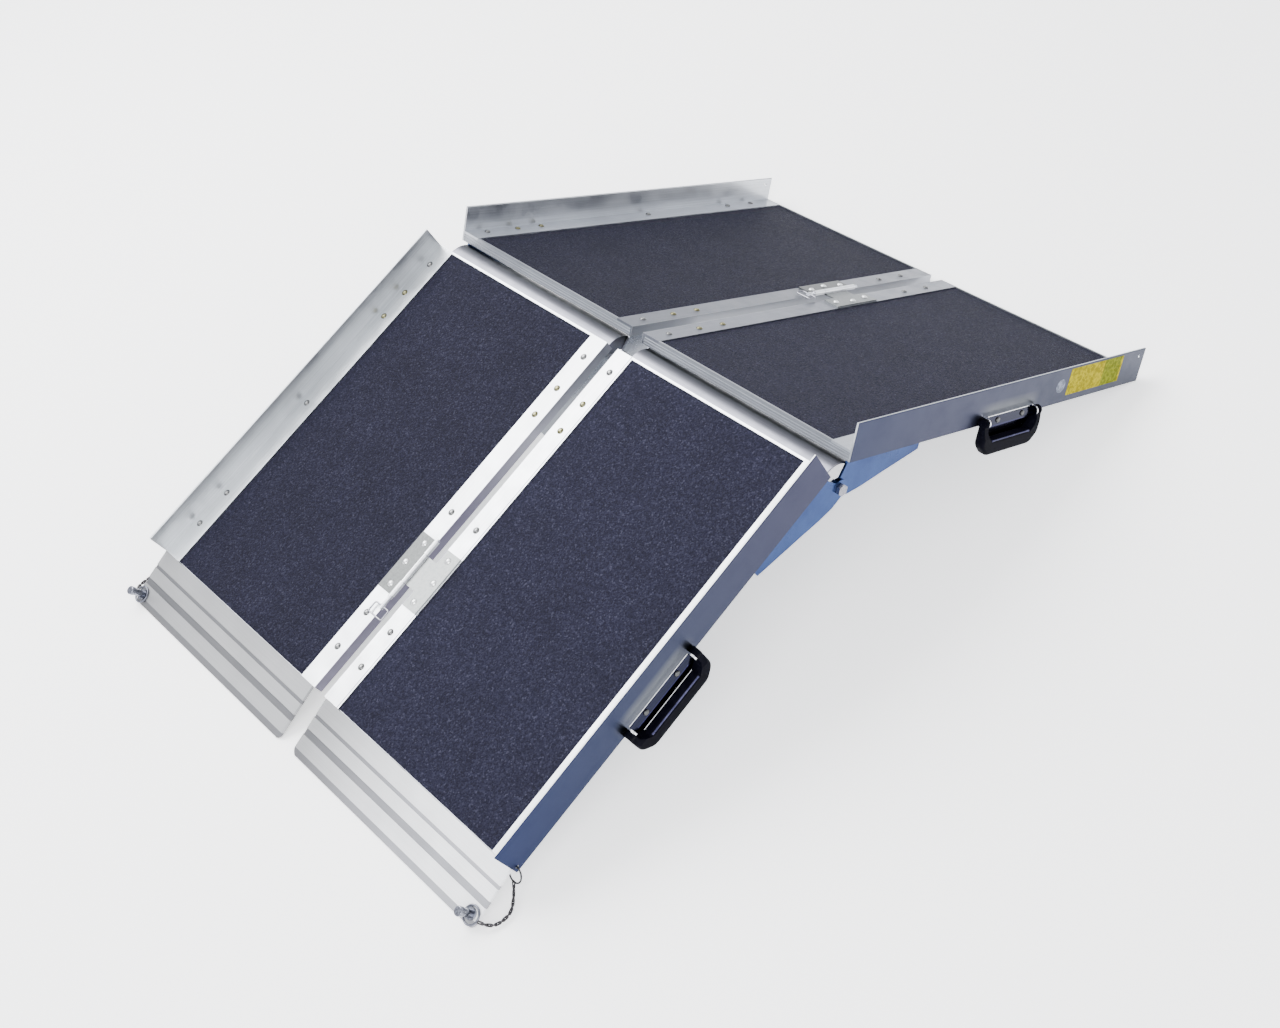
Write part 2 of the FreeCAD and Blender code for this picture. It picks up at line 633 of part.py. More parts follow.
def panel_parts(section):
    """Everything of one panel that is the same for both lanes."""
    landing = section == "landing"
    length = LANDING_LENGTH if landing else GROUND_LENGTH
    leaf = LANDING_LEAF if landing else GROUND_LEAF
    side_as = LANDING_SIDE_RIVETS if landing else GROUND_SIDE_RIVETS
    centre_as = LANDING_CENTRE_RIVETS if landing else GROUND_CENTRE_RIVETS
    rail_places = rail_rivets(side_as, centre_as)
    leaf_places = leaf_rivets(leaf)
    places = rail_places + leaf_places
    bores = [rod_o(a, HANDLE_N, HALF_WIDTH - 5, HALF_WIDTH + 1, 2.05) for a in mount_screw_as()]
    if landing:
        bores.append(rod_o(SPLIT_HOLE[0], SPLIT_HOLE[1], HALF_WIDTH - 5, HALF_WIDTH + 1, 2.4))
    else:
        bores.append(rod_o(GROUND_LENGTH - 12.5, 24.6, HALF_WIDTH - 5, HALF_WIDTH + 1, 2.6))
    rivets = [rivet(a, o) for a, o in rail_places] + [rivet(a, o, LEAF_T) for a, o in leaf_places]
    beams = [end_beam(length, False)]
    if not landing:
        beams.append(end_beam(length, True))
    found = {
        "deck_plate": [deck_plate(length, not landing, places)],
        "grit_sheet": [grit_sheet(length, not landing)],
        "side_rail": [side_rail(length, rail_places, bores)],
        "centre_rail": [centre_rail(length, places)],
        "end_beam": beams,
        "gussets": gussets(landing),
        "fasteners": rivets + [mount_screw(a) for a in mount_screw_as()],
        "handle_mount": [handle_mount()],
        "handle_grip": [handle_grip()],
    }
    if landing:
        found["lip_plate"] = [lip_plate()]
        found["bridge_plate"] = [bridge_plate()]
        found["lip_pin"] = [lip_pin()]
        found["lip_ring"] = [lip_ring()]
        found["split_ring"] = [split_ring()]
        found["lip_chain"] = [tube(chain_route(), CHAIN_R)[0]]
    else:
        found["pivot_bolts"] = pivot_bolts()
    return found


def build(pivot_x):
    nodes = {}
    for section in ("ground", "landing"):
        for name, solids in panel_parts(section).items():
            for lane in ("right", "left"):
                node = f"{lane}_{section}_{name}"
                nodes[node] = [place(s, section, lane, pivot_x) for s in solids]
    for section, span, clip_low in (("ground", GROUND_LEAF, True), ("landing", LANDING_LEAF, False)):
        flat = {
            f"left_{section}_hinge_leaf": left_leaf(span),
            f"right_{section}_hinge_leaf": right_leaf(span, section == "landing"),
            f"{section}_hinge_pin": hinge_pin(span, clip_low),
            f"{section}_pin_loop": pin_loop(span, clip_low),
        }
        for node, solid in flat.items():
            nodes[node] = [place_y(solid, section, pivot_x)]
    return nodes


def head_reach():
    """How far the retaining pin heads reach along X from the cross fold."""
    trial = place(lip_pin(), "landing", "right", 0.0)
    return -trial.optimalBoundingBox().XMin


def main():
    pivot_x = (head_reach() - GROUND_REACH) / 2
    nodes = build(pivot_x)
    os.makedirs("parts", exist_ok=True)
    for node, solids in nodes.items():
        shape = solids[0] if len(solids) == 1 else Part.makeCompound(solids)
        shape.exportStep(f"parts/{node}.step")
    points = chain_route()
    solid, radii, length = tube(points, CHAIN_R)
    print("chain radii", [round(r, 2) for r in radii], "length", round(length, 2))
    section = math.pi * CHAIN_R ** 2
    print("chain volume", round(solid.Volume, 2), "section x length", round(section * length, 2))
    print("slopes", round(GROUND_SLOPE, 6), round(LANDING_SLOPE, 6))
    print("cross fold at x", round(pivot_x, 4), "z", round(PIVOT_Z, 4))


main()
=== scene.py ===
"""Portable wheelchair ramp stood up as a tent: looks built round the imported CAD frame, in metres."""

import json
import math

import bpy
from mathutils import Matrix, Vector


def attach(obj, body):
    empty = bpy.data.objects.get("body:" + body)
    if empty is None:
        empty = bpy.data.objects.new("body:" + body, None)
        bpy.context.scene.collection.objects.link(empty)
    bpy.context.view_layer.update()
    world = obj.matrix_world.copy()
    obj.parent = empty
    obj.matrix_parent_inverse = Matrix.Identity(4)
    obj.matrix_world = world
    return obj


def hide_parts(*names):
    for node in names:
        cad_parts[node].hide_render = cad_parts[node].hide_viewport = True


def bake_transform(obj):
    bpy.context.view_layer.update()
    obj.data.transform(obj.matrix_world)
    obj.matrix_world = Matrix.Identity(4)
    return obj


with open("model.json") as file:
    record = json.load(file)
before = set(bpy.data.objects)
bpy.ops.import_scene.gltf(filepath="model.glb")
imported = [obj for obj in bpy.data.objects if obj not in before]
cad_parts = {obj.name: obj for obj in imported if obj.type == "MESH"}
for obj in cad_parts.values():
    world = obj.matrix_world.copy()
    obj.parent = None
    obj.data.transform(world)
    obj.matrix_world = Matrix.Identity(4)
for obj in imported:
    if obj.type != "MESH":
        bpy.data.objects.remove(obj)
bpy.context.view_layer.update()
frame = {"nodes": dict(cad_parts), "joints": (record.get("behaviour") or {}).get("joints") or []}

NODES = frame["nodes"]
JOINTS = {j["name"]: j for j in frame["joints"]}
LANES = {"right": -1.0, "left": 1.0}
SECTIONS = ("ground", "landing")

# ---- the two panel planes, from the joints ---------------------------------------------------
FOLD = Vector(JOINTS["right_fold"]["pos_m"])
GROUND_ALONG = Vector(JOINTS["lane_fold"]["axis"])
GROUND_UP = Vector((-GROUND_ALONG.z, 0, GROUND_ALONG.x))
LANDING_ALONG = Vector(JOINTS["landing_pin_slide"]["axis"])
LANDING_UP = Vector((LANDING_ALONG.z, 0, -LANDING_ALONG.x))
ALONG = {"ground": GROUND_ALONG, "landing": LANDING_ALONG}
UP = {"ground": GROUND_UP, "landing": LANDING_UP}
FOLD_BACK = 0.0025            # fold axis to the panel end
FOLD_DROP = 0.0478            # fold axis to the tread
HALF_WIDTH = 0.360
INNER_EDGE = 0.010            # half of the slot between the lanes
LANDING_LENGTH = 0.535
LIP_BEND = 10.8               # degrees, lip plate below the landing tread
RIVET_DOME = 0.0023           # rivet head above its plate
LEAF_T = 0.002                # hinge leaf
HINGE_Y = 0.008               # centre hinge axis
HINGE_N = 0.0037
KNUCKLE_R = 0.0035
HANDLE_MIDDLE = 0.299         # along either panel
MOUNT_HALF = 0.0495           # half of the mount's face, which carries the painted blue reflection
MOUNT_FACE_Y = 0.3645         # the mount's face lies outside this
MOUNT_TOP_N = -0.0018         # the polished top edge, with its painted highlight, starts here
MOUNT_BASE_N = -0.0154        # base flange and lower plate lie below this


def at(section, a, y, n):
    """Point a metres along a panel, n above its tread, at y of the row frame."""
    point = FOLD + ALONG[section] * (a + FOLD_BACK) + UP[section] * (n + FOLD_DROP)
    return Vector((point.x, y, point.z))


# ---- camera ----------------------------------------------------------------------------------
CAMERA_AT = Vector((-0.947, -1.3286, 1.4523))
CAMERA_FORWARD = Vector((0.4881, 0.5870, -0.6460))
CAMERA_UP = Vector((0.5069, 0.4119, 0.7573))
LENS = 46.12                  # mm, on a 36 mm wide sensor
SENSOR = 36.0
LENS_SHIFT = (-0.0781, -0.0655)


def make_camera():
    data = bpy.data.cameras.new("camera")
    data.lens = LENS
    data.sensor_width = SENSOR
    data.shift_x, data.shift_y = LENS_SHIFT
    data.clip_start = 0.05
    data.clip_end = 60.0
    camera = bpy.data.objects.new("camera", data)
    bpy.context.scene.collection.objects.link(camera)
    back = -CAMERA_FORWARD.normalized()
    right = CAMERA_UP.cross(back).normalized()
    up = back.cross(right)
    turn = Matrix((right, up, back)).transposed().to_4x4()
    camera.matrix_world = Matrix.Translation(CAMERA_AT) @ turn
    bpy.context.scene.camera = camera


make_camera()


# ---- mesh helpers ----------------------------------------------------------------------------
def add_object(name, data):
    found = bpy.data.objects.new(name, data)
    bpy.context.scene.collection.objects.link(found)
    return found


def add_mesh(name, verts, faces, smooth=False):
    data = bpy.data.meshes.new(name)
    data.from_pydata([tuple(v) for v in verts], [], faces)
    data.update()
    for face in data.polygons:
        face.use_smooth = smooth
    return add_object(name, data)


ODD_WAY = Vector((0.123, 0.456, 0.881))      # no wire runs this way


def wire_ring(path, radius, sides, base):
    """Vertices and faces of a closed wire round the path."""
    verts = []
    faces = []
    count = len(path)
    for k in range(count):
        ahead = (path[(k + 1) % count] - path[k - 1]).normalized()
        side = ahead.cross(ODD_WAY).normalized()
        other = ahead.cross(side)
        for s in range(sides):
            turn = 2 * math.pi * s / sides
            verts.append(path[k] + (side * math.cos(turn) + other * math.sin(turn)) * radius)
    for k in range(count):
        for s in range(sides):
            t = (s + 1) % sides
            after = (k + 1) % count
            faces.append((base + k * sides + s, base + after * sides + s,
                          base + after * sides + t, base + k * sides + t))
    return verts, faces


# ---- shader helpers --------------------------------------------------------------------------
def add_node(tree, kind, inputs=None, **settings):
    found = tree.nodes.new(kind)
    for key, value in settings.items():
        setattr(found, key, value)
    for key, value in (inputs or {}).items():
        socket = found.inputs[key]
        if isinstance(value, bpy.types.NodeSocket):
            tree.links.new(value, socket)
        else:
            socket.default_value = value
    return found


def maths(tree, operation, a, b=0.0, clamp=False):
    return add_node(tree, "ShaderNodeMath", {0: a, 1: b}, operation=operation, use_clamp=clamp).outputs[0]


def noise(tree, vector, scale, detail=3.0, rough=0.55):
    inputs = {"Vector": vector, "Scale": scale, "Detail": detail, "Roughness": rough}
    return add_node(tree, "ShaderNodeTexNoise", inputs).outputs[0]


def ramp(tree, value, *stops):
    """Colour ramp through (position, colour) stops; a plain number is a grey."""
    found = add_node(tree, "ShaderNodeValToRGB", {0: value})
    elements = found.color_ramp.elements
    while len(elements) < len(stops):
        elements.new(0.5)
    for element, (place, colour) in zip(elements, stops):
        grey = isinstance(colour, (int, float))
        element.position = place
        element.color = (colour, colour, colour, 1) if grey else (*colour, 1)
    return found.outputs[0]


def mixed(tree, share, a, b, blend="MIX"):
    found = add_node(tree, "ShaderNodeMix", data_type="RGBA", blend_type=blend)
    for socket, value in ((found.inputs[0], share), (found.inputs[6], a), (found.inputs[7], b)):
        if isinstance(value, bpy.types.NodeSocket):
            tree.links.new(value, socket)
        elif isinstance(value, tuple):
            socket.default_value = (*value, 1)
        else:
            socket.default_value = value
    return found.outputs[2]


def bump(tree, height, distance, strength=1.0):
    inputs = {"Height": height, "Distance": distance, "Strength": strength}
    return add_node(tree, "ShaderNodeBump", inputs).outputs[0]


def panel_frame(tree, section):
    """Sockets for a, y and n of a point, in metres, and the vector of the three."""
    where = add_node(tree, "ShaderNodeTexCoord").outputs["Object"]
    found = []
    for axis, drop in ((ALONG[section], FOLD_BACK), (None, 0.0), (UP[section], FOLD_DROP)):
        if axis is None:
            split = add_node(tree, "ShaderNodeSeparateXYZ", {0: where})
            found.append(split.outputs[1])
            continue
        dot = add_node(tree, "ShaderNodeVectorMath", {0: where, 1: tuple(axis)}, operation="DOT_PRODUCT")
        found.append(maths(tree, "SUBTRACT", dot.outputs["Value"], FOLD.dot(axis) + drop))
    vector = add_node(tree, "ShaderNodeCombineXYZ", {0: found[0], 1: found[1], 2: found[2]}).outputs[0]
    return found[0], found[1], found[2], vector


def stretched(tree, vector, scales):
    return add_node(tree, "ShaderNodeVectorMath", {0: vector, 1: scales}, operation="MULTIPLY").outputs[0]


def new_material(name, metallic, **constants):
    material = bpy.data.materials.new(name)
    material.use_nodes = True
    tree = material.node_tree
    tree.nodes.clear()
    inputs = {"Metallic": metallic}
    inputs.update(constants)
    shader = add_node(tree, "ShaderNodeBsdfPrincipled", inputs)
    output = add_node(tree, "ShaderNodeOutputMaterial")
    tree.links.new(shader.outputs[0], output.inputs["Surface"])
    return material, tree, shader


def connect(tree, shader, **sockets):
    names = {"colour": "Base Color", "rough": "Roughness", "normal": "Normal"}
    for key, value in sockets.items():
        tree.links.new(value, shader.inputs[names[key]])


# ---- materials -------------------------------------------------------------------------------
def between(tree, value, low, high):
    """1 where the value lies between the two, else 0."""
    over = maths(tree, "GREATER_THAN", value, low)
    return maths(tree, "MULTIPLY", over, maths(tree, "LESS_THAN", value, high))


def span(tree, value, low, high):
    """0 at low to 1 at high, held beyond them."""
    return maths(tree, "MULTIPLY", maths(tree, "SUBTRACT", value, low), 1.0 / (high - low), clamp=True)


def drawn_metal(name, section, light, dark, streak, rough=(0.28, 0.42), metallic=1.0, shade=None):
    """Extruded or drawn metal: fine streaks along one panel axis, faint stains, rubbed patches.

    shade(tree, a, y, n, colour) returns the colour with the marks of this kind of piece.
    """
    material, tree, shader = new_material(name, metallic)
    a, y, n, vector = panel_frame(tree, section)
    lines = noise(tree, stretched(tree, vector, streak), 1.0, 4.0, 0.6)
    broad = noise(tree, vector, 9.0, 3.0)
    stain = noise(tree, vector, 38.0, 4.0, 0.6)
    colour = ramp(tree, lines, (0.3, dark), (0.62, light))
    cloud = ramp(tree, broad, (0.35, 0.88), (0.6, 1.0))
    colour = mixed(tree, 1.0, colour, cloud, "MULTIPLY")
    if shade:
        colour = shade(tree, a, y, n, colour)
    roughness = ramp(tree, stain, (0.35, rough[0]), (0.68, rough[1]))
    height = maths(tree, "ADD", maths(tree, "MULTIPLY", lines, 0.9), maths(tree, "MULTIPLY", stain, 0.1))
    connect(tree, shader, colour=colour, rough=roughness, normal=bump(tree, height, 0.00010, 0.3))
    return material


SHADE_LENGTH = 0.6            # painted shade and reflection tones along a panel are spread over this
FACE_SKIN = 0.0006            # depth that still counts as an outer face
SLOT_SKIN = 0.0004
# painted reflection of the polished handle mount: a pale band on the side rail just above it
MOUNT_REFLECTION_TONE = (0.16, 0.17, 0.17)
MOUNT_REFLECTION_REACH = 0.07             # along the rail, either side of the handle's middle
MOUNT_REFLECTION_BAND = (-0.002, 0.016)   # height above the tread
# painted shadow of a rolled groove by the flange edge of the right landing rail
GROOVE_SHADOW_TONE = (0.07, 0.075, 0.12)
INBOARD_REACH = 0.1
INBOARD_TONE = (0.34, 0.355, 0.39)
# painted shade across the lip, multiplier from the right edge to the left edge
LIP_SHADE_SHARES = ((0.0, 1.0), (0.2, 0.84), (0.47, 0.30), (0.53, 0.36), (1.0, 0.27))
APRON_FROM = -0.0285
# painted shade: the ground half's grit is darker than the lit landing half
GRIT_HALF_SHADE = {"ground": 0.84, "landing": 0.98}
# painted shade on the left lane's grit
GRIT_LEFT_SHADE = 0.84
# painted shade on the left leaf
LEAF_LEFT_SHADE = 0.45


def side_rail_shade(section):
    """Painted reflection: dark blue-grey outer face, bluer at the low end of the landing half, with a
    painted reflection of the handle mount above the handle.
    """
    def shade(tree, a, y, n, colour):
        reach = maths(tree, "ABSOLUTE", y)
        outside = maths(tree, "GREATER_THAN", reach, HALF_WIDTH - FACE_SKIN)
        # painted reflection: the dark blue-grey outer face stands in for a dark room mirrored in the metal
        face = ramp(tree, maths(tree, "DIVIDE", a, SHADE_LENGTH), *OUTER_FACE_REFLECTION[section])
        # painted reflection of the mount, strongest just above it near the handle's middle
        off = maths(tree, "ABSOLUTE", maths(tree, "SUBTRACT", a, HANDLE_MIDDLE))
        along = ramp(tree, span(tree, off, 0.0, MOUNT_REFLECTION_REACH), (0.5, 1.0), (0.95, 0.0))
        upward = ramp(tree, span(tree, n, *MOUNT_REFLECTION_BAND), (0.0, 0.8), (0.3, 1.0), (1.0, 0.0))
        mount_reflection = maths(tree, "MULTIPLY", along, upward)
        face = mixed(tree, maths(tree, "MULTIPLY", mount_reflection, 0.5), face, MOUNT_REFLECTION_TONE)
        return mixed(tree, outside, colour, face)
    return shade


def centre_rail_shade(section):
    """Painted shade on the slot side and on the left lane, most on the ground half, and a painted shadow
    line of a rolled groove on the right lane.
    """
    def shade(tree, a, y, n, colour):
        reach = maths(tree, "ABSOLUTE", y)
        # painted shade on the left lane, stronger on the ground half
        left = ramp(tree, span(tree, y, -0.005, 0.005), (0.0, 1.0), (1.0, LEFT_RAIL_SHADE[section]))
        colour = mixed(tree, 1.0, colour, left, "MULTIPLY")
        # painted shade on the rail sides in the slot, where the gap between the lanes is dark
        slot = ramp(tree, maths(tree, "DIVIDE", a, SHADE_LENGTH), *SLOT_SHADE_TONES[section])
        colour = mixed(tree, maths(tree, "LESS_THAN", reach, INNER_EDGE + SLOT_SKIN), colour, slot)
        if section == "landing":
            # painted shadow line of a rolled groove
            colour = mixed(tree, between(tree, y, *GROOVE_SHADOW_LINE), colour, GROOVE_SHADOW_TONE)
        return colour
    return shade


def gusset_shade(tree, a, y, n, colour):
    """Plates beside the slot are grey, without the painted blue reflection."""
    inboard = maths(tree, "LESS_THAN", maths(tree, "ABSOLUTE", y), INBOARD_REACH)
    return mixed(tree, inboard, colour, INBOARD_TONE)


def lip_shade(tree, a, y, n, colour):
    """Painted shade from white at the outer right corner to grey towards the left lane, with darker bands at
    the grooves and nose.
    """
    turn = math.radians(LIP_BEND)
    past = maths(tree, "MULTIPLY", maths(tree, "SUBTRACT", a, LANDING_LENGTH), math.cos(turn))
    past = maths(tree, "SUBTRACT", past, maths(tree, "MULTIPLY", n, math.sin(turn)))
    # painted shade across the lanes, darkest at the left
    share = ramp(tree, span(tree, y, -HALF_WIDTH, HALF_WIDTH), *LIP_SHADE_SHARES)
    colour = mixed(tree, 1.0, colour, share, "MULTIPLY")
    for low, high, tone in LIP_BANDS:
        darker_band = mixed(tree, 1.0, colour, (tone, tone, tone * 1.06), "MULTIPLY")
        colour = mixed(tree, between(tree, past, low, high), colour, darker_band)
    return colour


def apron_shade(tree, a, y, n, colour):
    """Painted shade: the curve darkens as it runs in under the other half."""
    share = ramp(tree, span(tree, a, APRON_FROM, 0.0), *APRON_SHADE_TONES)
    return mixed(tree, 1.0, colour, share, "MULTIPLY")


def grit_material(section):
    """Mineral grit in a dark film: packed grains, a few pale ones, and broad worn patches, with painted
    shade on the ground half and on the left lane.
    """
    gloss = {"IOR": 1.45, "Specular IOR Level": 0.08}
    material, tree, shader = new_material(f"{section}_grit_mat", 0.0, **gloss)
    a, y, n, vector = panel_frame(tree, section)
    grains = add_node(tree, "ShaderNodeTexVoronoi", {"Vector": vector, "Scale": 560.0, "Randomness": 1.0})
    small = noise(tree, vector, 900.0, 2.0)
    patch = noise(tree, vector, 14.0, 4.0)
    tone = add_node(tree, "ShaderNodeSeparateColor", {0: grains.outputs["Color"]}).outputs[0]
    base = ramp(tree, tone, (0.0, (0.0050, 0.0051, 0.0118)), (0.6, (0.0090, 0.0091, 0.0196)),
                (0.93, (0.0145, 0.0147, 0.0290)), (1.0, (0.026, 0.0265, 0.045)))
    # painted shade by half of the ramp, mixed into the patches
    cloud = ramp(tree, patch, (0.3, 0.86 * GRIT_HALF_SHADE[section]), (0.7, 1.06 * GRIT_HALF_SHADE[section]))
    colour = mixed(tree, 1.0, base, cloud, "MULTIPLY")
    # painted shade on the left lane
    left = ramp(tree, span(tree, y, -INNER_EDGE, INNER_EDGE), (0.0, 1.0), (1.0, GRIT_LEFT_SHADE))
    colour = mixed(tree, 1.0, colour, left, "MULTIPLY")
    rough = ramp(tree, small, (0.35, 0.55), (0.7, 0.85))
    height = maths(tree, "SUBTRACT", 1.0, grains.outputs["Distance"])
    connect(tree, shader, colour=colour, rough=rough, normal=bump(tree, height, 0.0008, 0.6))
    return material


def cast_metal(name, light, dark, scale=400.0, rough=(0.22, 0.4), metallic=1.0):
    """Small turned or pressed parts: fine speckle and worn, shinier patches."""
    material, tree, shader = new_material(name, metallic)
    where = add_node(tree, "ShaderNodeTexCoord").outputs["Object"]
    fine = noise(tree, where, scale, 4.0)
    worn = noise(tree, where, scale / 7, 3.0)
    colour = ramp(tree, fine, (0.32, dark), (0.66, light))
    roughness = ramp(tree, worn, (0.35, rough[0]), (0.65, rough[1]))
    connect(tree, shader, colour=colour, rough=roughness, normal=bump(tree, fine, 0.00008, 0.4))
    return material


def moulded_plastic(name, gloss=0.10, tone=1.0):
    """Black moulding with a faint leather-like surface and dust in it; tone lifts its colour."""
    material, tree, shader = new_material(name, 0.0, **{"IOR": 1.16, "Specular IOR Level": gloss})
    where = add_node(tree, "ShaderNodeTexCoord").outputs["Object"]
    skin = add_node(tree, "ShaderNodeTexVoronoi", {"Vector": where, "Scale": 900.0}, feature="SMOOTH_F1")
    dust = noise(tree, where, 90.0, 5.0, 0.7)
    dark = tuple(c * tone for c in (0.0015, 0.0015, 0.0035))
    dusty = tuple(c * tone for c in (0.005, 0.005, 0.009))
    colour = ramp(tree, dust, (0.45, dark), (0.8, dusty))
    rough = ramp(tree, dust, (0.4, 0.34), (0.75, 0.48))
    height = skin.outputs["Distance"]
    connect(tree, shader, colour=colour, rough=rough, normal=bump(tree, height, 0.0002, 0.25))
    return material


def rivet_material(section):
    """Plated domed heads with painted shade round the rim; those near the cross fold have gone yellow."""
    material, tree, shader = new_material(f"{section}_rivet_mat", 1.0)
    a, y, n, vector = panel_frame(tree, section)
    fine = noise(tree, vector, 500.0, 3.0)
    plain = ramp(tree, fine, (0.3, (0.62, 0.63, 0.62)), (0.7, (0.82, 0.83, 0.84)))
    yellow = ramp(tree, fine, (0.3, (0.62, 0.58, 0.30)), (0.7, (0.84, 0.80, 0.48)))
    colour = mixed(tree, between(tree, a, 0.05, 0.14), plain, yellow)
    height = span(tree, n, 0.0002, RIVET_DOME + LEAF_T)
    # painted shade round the rim of each dome, darkest at its foot
    rim = ramp(tree, height, (0.0, 0.10), (0.35, 0.20), (0.5, 0.40), (0.62, 1.0))
    colour = mixed(tree, 1.0, colour, rim, "MULTIPLY")
    rough = ramp(tree, fine, (0.3, 0.2), (0.7, 0.36))
    connect(tree, shader, colour=colour, rough=rough, normal=bump(tree, fine, 0.00006, 0.4))
    return material


def leaf_material(section):
    """Rolled steel leaf, grey and mottled, with painted shade on the left leaf and a painted highlight on
    the barrel round the hinge axis.
    """
    material, tree, shader = new_material(f"{section}_leaf_mat", 1.0)
    a, y, n, vector = panel_frame(tree, section)
    mottle = noise(tree, vector, 260.0, 4.0)
    plate = ramp(tree, mottle, (0.3, (0.17, 0.18, 0.18)), (0.7, (0.27, 0.28, 0.28)))
    # painted shade on the left leaf
    left = ramp(tree, span(tree, y, 0.0, HINGE_Y), (0.0, 1.0), (1.0, LEAF_LEFT_SHADE))
    plate = mixed(tree, 1.0, plate, left, "MULTIPLY")
    # painted highlight on the barrel round the hinge axis
    barrel = ramp(tree, mottle, (0.3, (0.80, 0.81, 0.84)), (0.7, (0.92, 0.93, 0.95)))
    across = maths(tree, "SUBTRACT", y, HINGE_Y)
    above = maths(tree, "SUBTRACT", n, HINGE_N)
    distance = maths(tree, "POWER", maths(tree, "ADD", maths(tree, "MULTIPLY", across, across),
                                          maths(tree, "MULTIPLY", above, above)), 0.5)
    near = maths(tree, "LESS_THAN", distance, KNUCKLE_R + 0.0002)
    colour = mixed(tree, near, plate, barrel)
    rough = ramp(tree, mottle, (0.3, 0.3), (0.7, 0.44))
    connect(tree, shader, colour=colour, rough=rough, normal=bump(tree, mottle, 0.0001, 0.4))
    return material


LOWER_PLATE_N = (-0.033, -0.016)
LOWER_PLATE_TONES = ((0.0, (0.002, 0.002, 0.008)), (1.0, (0.008, 0.009, 0.05)))


def mount_material(section):
    """Polished handle mount: painted highlights on the edges and ends, a painted dark blue reflection on the
    face, and a lower plate that goes to black.
    """
    material, tree, shader = new_material(f"{section}_mount_mat", 1.0)
    a, y, n, vector = panel_frame(tree, section)
    fine = noise(tree, stretched(tree, vector, (30.0, 400.0, 400.0)), 1.0, 3.0)
    # painted highlight for the polished edges and ends, painted dark blue reflection for the face
    bright = ramp(tree, fine, (0.3, (0.80, 0.81, 0.84)), (0.7, (0.95, 0.95, 0.97)))
    blue = ramp(tree, fine, (0.3, (0.0010, 0.0015, 0.012)), (0.7, (0.0025, 0.005, 0.026)))
    reach = maths(tree, "ABSOLUTE", y)
    # mask of the face that gets the painted blue reflection; the top edge and ends keep the painted
    # highlight
    face = maths(tree, "MULTIPLY", maths(tree, "GREATER_THAN", reach, MOUNT_FACE_Y),
                 maths(tree, "LESS_THAN", n, MOUNT_TOP_N))
    off = maths(tree, "ABSOLUTE", maths(tree, "SUBTRACT", a, HANDLE_MIDDLE))
    ends = maths(tree, "GREATER_THAN", off, MOUNT_HALF)
    face = maths(tree, "MULTIPLY", face, maths(tree, "SUBTRACT", 1.0, ends))
    colour = mixed(tree, face, bright, blue)
    lower = ramp(tree, span(tree, n, *LOWER_PLATE_N), *LOWER_PLATE_TONES)
    colour = mixed(tree, maths(tree, "LESS_THAN", n, MOUNT_BASE_N), colour, lower)
    rough = ramp(tree, fine, (0.3, 0.07), (0.7, 0.2))
    connect(tree, shader, colour=colour, rough=rough, normal=bump(tree, fine, 0.00005, 0.3))
    return material


PALE = (0.80, 0.82, 0.85)
PALE_DARK = (0.68, 0.70, 0.73)
# painted shade: darker copies of the rail tones for the ground half, which faces away from the light
SHADED_RAIL = (0.24, 0.25, 0.285)
SHADED_RAIL_DARK = (0.185, 0.195, 0.225)
# painted shade: darker copy of the end beam tones for the ground half
SHADED_BEAM = (0.36, 0.375, 0.40)
SHADED_BEAM_DARK = (0.26, 0.27, 0.30)
STREAK_ALONG = (6.0, 900.0, 900.0)
STREAK_ACROSS = (900.0, 6.0, 900.0)
# the ground half's rails carry the painted shade copies
RAIL_TONES = {"ground": (SHADED_RAIL, SHADED_RAIL_DARK), "landing": (PALE, PALE_DARK)}
# painted shade on the left lane's centre rails
LEFT_RAIL_SHADE = {"ground": 0.8, "landing": 0.96}
# painted shade: the ground half's side rails are darker copies
CURB_TONES = {
    "ground": ((0.54, 0.56, 0.60), (0.42, 0.44, 0.47)),
    "landing": ((0.62, 0.64, 0.66), (0.48, 0.50, 0.52)),
}
# the ground half's end beam carries the painted shade copy
BEAM_TONES = {"ground": (SHADED_BEAM, SHADED_BEAM_DARK), "landing": (PALE, PALE_DARK)}
# painted reflection on the outer faces of the side rails, dark blue-grey
OUTER_FACE_REFLECTION = {
    "ground": ((0.0, (0.023, 0.028, 0.058)), (0.25, (0.028, 0.031, 0.058)), (1.0, (0.027, 0.032, 0.053))),
    "landing": ((0.0, (0.030, 0.031, 0.059)), (0.45, (0.023, 0.028, 0.055)), (0.88, (0.010, 0.017, 0.056))),
}
# painted shade on the rail sides facing the slot
SLOT_SHADE_TONES = {
    "ground": ((0.0, (0.44, 0.45, 0.48)), (1.0, (0.30, 0.31, 0.34))),
    "landing": ((0.08, (0.42, 0.43, 0.47)), (0.45, (0.16, 0.15, 0.21)), (0.8, (0.20, 0.19, 0.25))),
}
# painted shadow line of a rolled groove, in y
GROOVE_SHADOW_LINE = (-0.0367, -0.0357)
LIP_BANDS = ((0.0209, 0.0251, 0.40), (0.0399, 0.0481, 0.32), (0.0652, 0.0800, 0.34))
# painted shade on the curved apron, darkest where it runs in under the other half
APRON_SHADE_TONES = ((0.08, 0.02), (0.2, 0.07), (0.38, 0.26), (0.64, 0.52), (0.85, 0.66))

DECK_TONES = ((0.62, 0.64, 0.68), (0.48, 0.50, 0.55))
